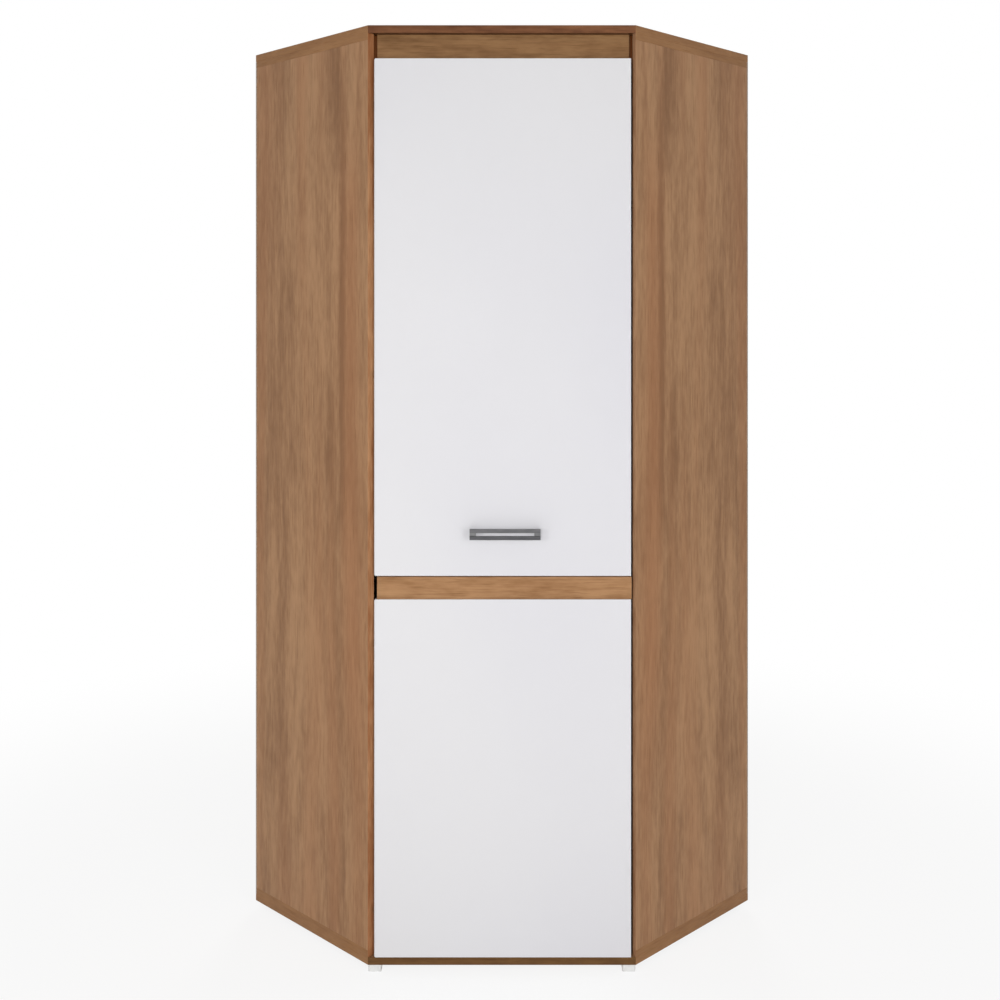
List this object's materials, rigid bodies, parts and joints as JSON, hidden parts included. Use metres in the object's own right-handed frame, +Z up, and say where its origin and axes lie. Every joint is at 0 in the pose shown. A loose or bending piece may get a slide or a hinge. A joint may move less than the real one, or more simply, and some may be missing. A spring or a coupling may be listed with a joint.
{
  "type": "corner wardrobe",
  "caption": "Five-sided wardrobe for a room corner, wood decor carcass, tall white gloss door with a wood band and bar handle, hat shelf and clothes rail inside",
  "frame": {"origin": "middle of the bounding box, at floor level", "axes": "+Z up, -Y out of the door, +Y back into the corner of the room, +X to the right as seen from the front"},
  "size_m": [1.1356, 0.8888, 1.964],
  "materials": {
    "wood_decor": "matt printed wood decor on chipboard",
    "white_gloss": "high gloss white foil on fibreboard",
    "white_melamine": "matt white melamine on chipboard",
    "back_hardboard": "hardboard painted white inside and brown outside",
    "satin_metal": "satin grey",
    "chrome": "bright",
    "nickel_fittings": "nickel plated",
    "zinc_screws": "zinc plated",
    "beech": "raw beech",
    "white_plastic": "moulded",
    "clear_rubber": "clear soft stop"
  },
  "bodies": {
    "carcass": {"top_board": "wood_decor", "bottom_board": "wood_decor", "left_side_panel": "wood_decor", "right_side_panel": "wood_decor", "left_top_strip": "wood_decor", "right_top_strip": "wood_decor", "left_bottom_strip": "wood_decor", "right_bottom_strip": "wood_decor", "left_back_sheet": "back_hardboard", "right_back_sheet": "back_hardboard", "back_corner_post": "wood_decor", "post_dowels": "beech", "hat_shelf": "wood_decor", "shelf_pegs": "nickel_fittings", "clothes_rail": "chrome", "rail_hangers": "chrome", "rail_hanger_screws": "zinc_screws", "top_front_rail": "wood_decor", "door_bumpers": "clear_rubber", "cam_bolts": "nickel_fittings", "cam_locks": "nickel_fittings", "floor_glides": "white_plastic", "glide_nails": "zinc_screws", "hinge_plates": "nickel_fittings", "hinge_plate_screws": "zinc_screws", "hinge_arms": "nickel_fittings", "hinge_arm_screws": "zinc_screws"},
    "door": {"upper_door_panel": "white_gloss", "lower_door_panel": "white_gloss", "door_strip": "wood_decor", "door_backing_board": "white_melamine", "backing_screws": "zinc_screws", "handle_upper_bar": "satin_metal", "handle_lower_bar": "satin_metal", "handle_posts": "satin_metal", "handle_screws": "zinc_screws", "hinge_cups": "nickel_fittings", "hinge_pins": "nickel_fittings", "hinge_cup_screws": "zinc_screws"}
  },
  "joints": [
    {"name": "door_hinge", "type": "hinge", "parent": "carcass", "child": "door", "pos_m": [-0.25618, -0.40796, 0], "axis": [0, 0, -1], "range_deg": [0, 95]}
  ]
}
